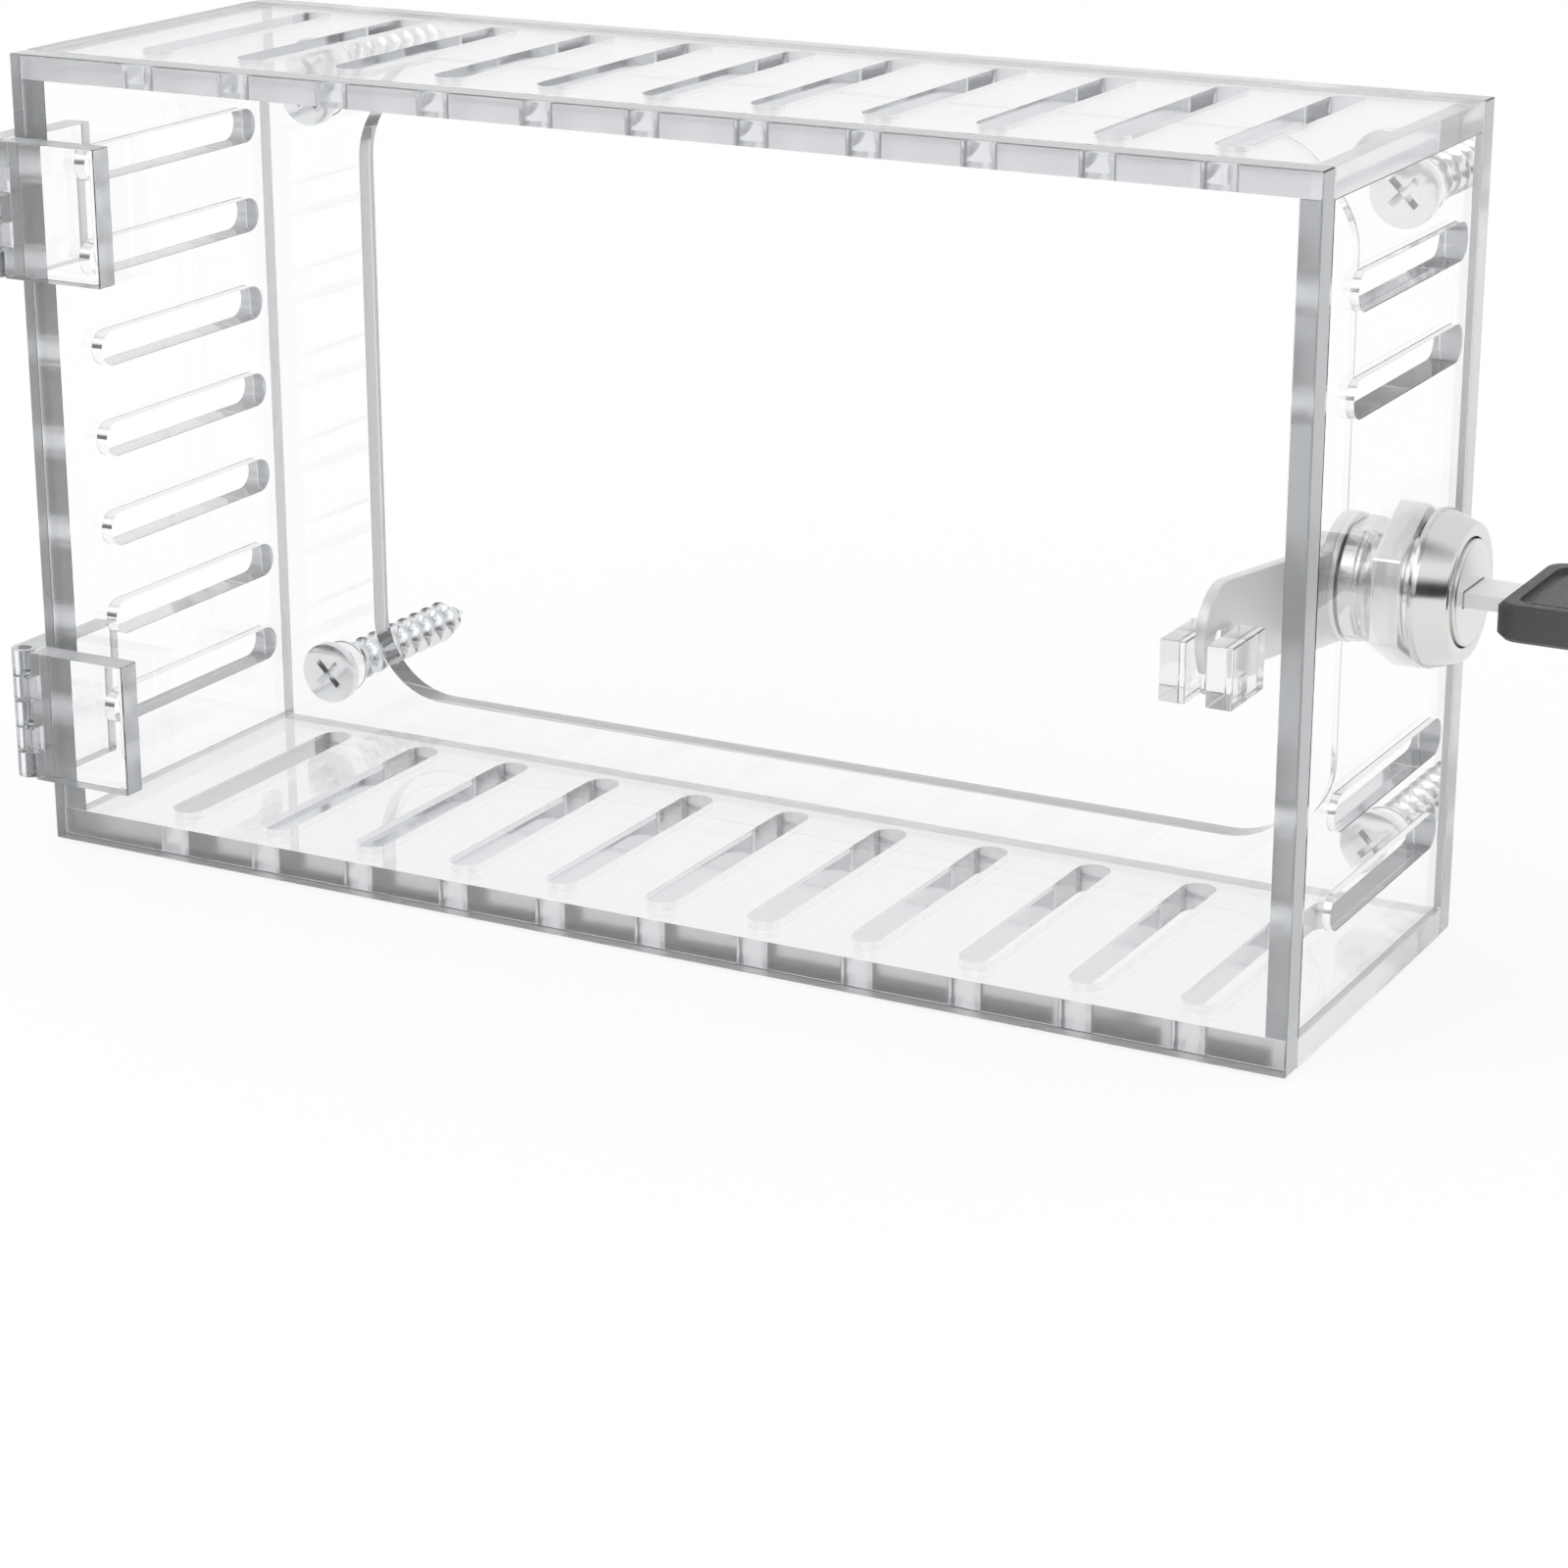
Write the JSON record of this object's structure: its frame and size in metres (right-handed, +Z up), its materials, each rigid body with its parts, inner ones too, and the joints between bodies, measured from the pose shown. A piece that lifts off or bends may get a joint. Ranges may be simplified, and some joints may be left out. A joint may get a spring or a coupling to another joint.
{
  "type": "thermostat lock box",
  "caption": "Clear wall box with slotted sides, a side-hinged door and a key-operated hook lock, for guarding a thermostat.",
  "frame": {"origin": "on the wall plane, at the centre of the four mounting screws", "axes": "+X right, towards the lock; +Y into the wall; +Z up"},
  "size_m": [0.238, 0.0993, 0.116],
  "materials": {
    "clear_acrylic": "polished clear sheet",
    "satin_nickel": "satin nickel plate",
    "plated_steel": "bright nickel plate",
    "bright_zinc": "bright zinc plate",
    "spring_steel": "plain",
    "brass": "plain",
    "grey_plastic": "fine matte moulding"
  },
  "bodies": {
    "box": {"back_frame": "clear_acrylic", "top_panel": "clear_acrylic", "bottom_panel": "clear_acrylic", "hinge_side_panel": "clear_acrylic", "lock_side_panel": "clear_acrylic", "hinge_wall_leaf_upper": "clear_acrylic", "hinge_wall_leaf_lower": "clear_acrylic", "hinge_pin_upper": "clear_acrylic", "hinge_pin_lower": "clear_acrylic", "lock_body": "satin_nickel", "lock_nut": "satin_nickel", "mounting_screws": "bright_zinc"},
    "door": {"door_panel": "clear_acrylic", "hinge_door_leaf_upper": "clear_acrylic", "hinge_door_leaf_lower": "clear_acrylic", "catch_cheek_inner": "clear_acrylic", "catch_cheek_outer": "clear_acrylic", "catch_bar": "clear_acrylic"},
    "lock_core": {"lock_plug": "satin_nickel", "lock_wafers": "brass", "wafer_springs": "spring_steel", "stop_washer": "plated_steel", "lock_cam": "plated_steel", "cam_washer": "plated_steel", "cam_screw": "plated_steel"},
    "key": {"key_blade": "plated_steel", "key_bow": "grey_plastic"}
  },
  "joints": [
    {"name": "door_hinge", "type": "hinge", "parent": "box", "child": "door", "pos_m": [-0.0995, -0.064, 0], "axis": [0, 0, -1], "range_deg": [0, 180]},
    {"name": "lock_turn", "type": "hinge", "parent": "box", "child": "lock_core", "pos_m": [0.09, -0.0145, -0.005], "axis": [-1, 0, 0], "range_deg": [-7, 83]},
    {"name": "key_slide", "type": "slide", "parent": "lock_core", "child": "key", "axis": [1, 0, 0], "range_m": [0, 0.024]}
  ]
}
